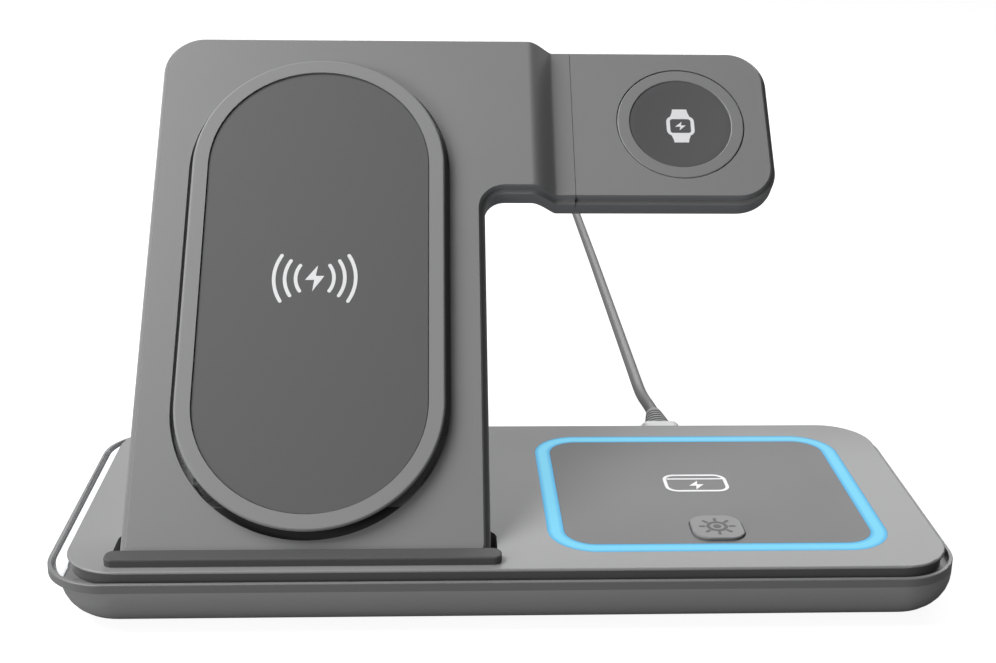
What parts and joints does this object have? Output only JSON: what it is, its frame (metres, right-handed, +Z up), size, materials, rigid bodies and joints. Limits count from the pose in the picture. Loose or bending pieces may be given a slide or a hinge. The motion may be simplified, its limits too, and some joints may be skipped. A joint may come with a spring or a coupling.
{
  "type": "wireless charger",
  "caption": "Folding wireless charging stand for a phone, a watch and an earbud case, with a lit pad, a side lamp and a plugged-in supply cord.",
  "frame": {"origin": "centre of the base on the table, under the top cover", "axes": "+Z up, -Y towards the user, +X towards the watch head"},
  "size_m": [0.2312, 0.4337, 0.1109],
  "materials": {
    "tray_plastic": "fine satin moulding, dark grey",
    "soft_rubber": "matt non-slip sheet",
    "steel": "plated",
    "rim_plastic": "fine satin moulding, dark grey",
    "white_light": "translucent light guide, lit white",
    "board_white": "white circuit strip",
    "cover_plastic": "fine matt moulding, mid grey",
    "rest_rubber": "matt dark grey",
    "blue_light": "translucent light guide, lit pale blue",
    "circuit_green": "glass fibre board, green lacquer",
    "pad_plastic": "fine matt moulding, mid grey",
    "copper": "wound copper wire",
    "ferrite": "sintered ferrite sheet",
    "component_black": "black moulded",
    "button_plastic": "smooth satin moulding",
    "plate_plastic": "fine matt moulding, grey",
    "pad_rim_rubber": "soft matt silicone",
    "phone_pad_rubber": "soft matt silicone",
    "brass": "plain",
    "puck_plastic": "fine matt moulding",
    "magnet_steel": "nickel plated",
    "cord_plastic": "soft light grey jacket",
    "relief_plastic": "ribbed, dark grey"
  },
  "bodies": {
    "base": {"base_tray": "tray_plastic", "base_pad": "soft_rubber", "tray_screws": "steel", "rim_frame": "rim_plastic", "side_light_guide": "white_light", "side_led_strip": "board_white", "top_cover": "cover_plastic", "phone_rest": "rest_rubber", "ring_light_guide": "blue_light", "ring_led_board": "circuit_green", "earbud_pad": "pad_plastic", "earbud_coil": "copper", "earbud_ferrite": "ferrite", "base_circuit_board": "circuit_green", "board_components": "component_black", "usb_socket": "steel", "button_switch": "component_black", "hinge_tube": "steel", "plug_tip": "steel", "plug_body": "cord_plastic", "strain_relief": "relief_plastic", "cord": "cord_plastic", "cord_coil": "cord_plastic", "cord_tail": "cord_plastic", "cord_tie": "component_black", "usb_a_body": "cord_plastic", "usb_a_shell": "steel"},
    "light_button": {"light_button": "button_plastic"},
    "plate": {"plate_front": "plate_plastic", "plate_back": "plate_plastic", "plate_screws": "steel", "phone_pad_rim": "pad_rim_rubber", "phone_pad": "phone_pad_rubber", "phone_coils": "copper", "phone_ferrite": "ferrite", "plate_circuit_board": "circuit_green", "pivot_bush": "brass"},
    "watch_head": {"watch_head_front": "plate_plastic", "watch_head_back": "plate_plastic", "watch_puck_ring": "puck_plastic", "watch_puck_face": "phone_pad_rubber", "watch_coil": "copper", "watch_magnet": "magnet_steel", "pivot_tube": "steel"}
  },
  "joints": [
    {"name": "plate_fold", "type": "hinge", "parent": "base", "child": "plate", "pos_m": [-0.044, -0.02024, 0.011], "axis": [1, 0, 0], "range_deg": [-36, 14]},
    {"name": "watch_tilt", "type": "hinge", "parent": "plate", "child": "watch_head", "pos_m": [0.018, 0.05215, 0.08906], "axis": [1, 0, 0], "range_deg": [0, 45]},
    {"name": "light_button_press", "type": "slide", "parent": "base", "child": "light_button", "axis": [0, 0, -1], "range_m": [0, 0.0005], "stiffness_N_per_m": 1200}
  ]
}
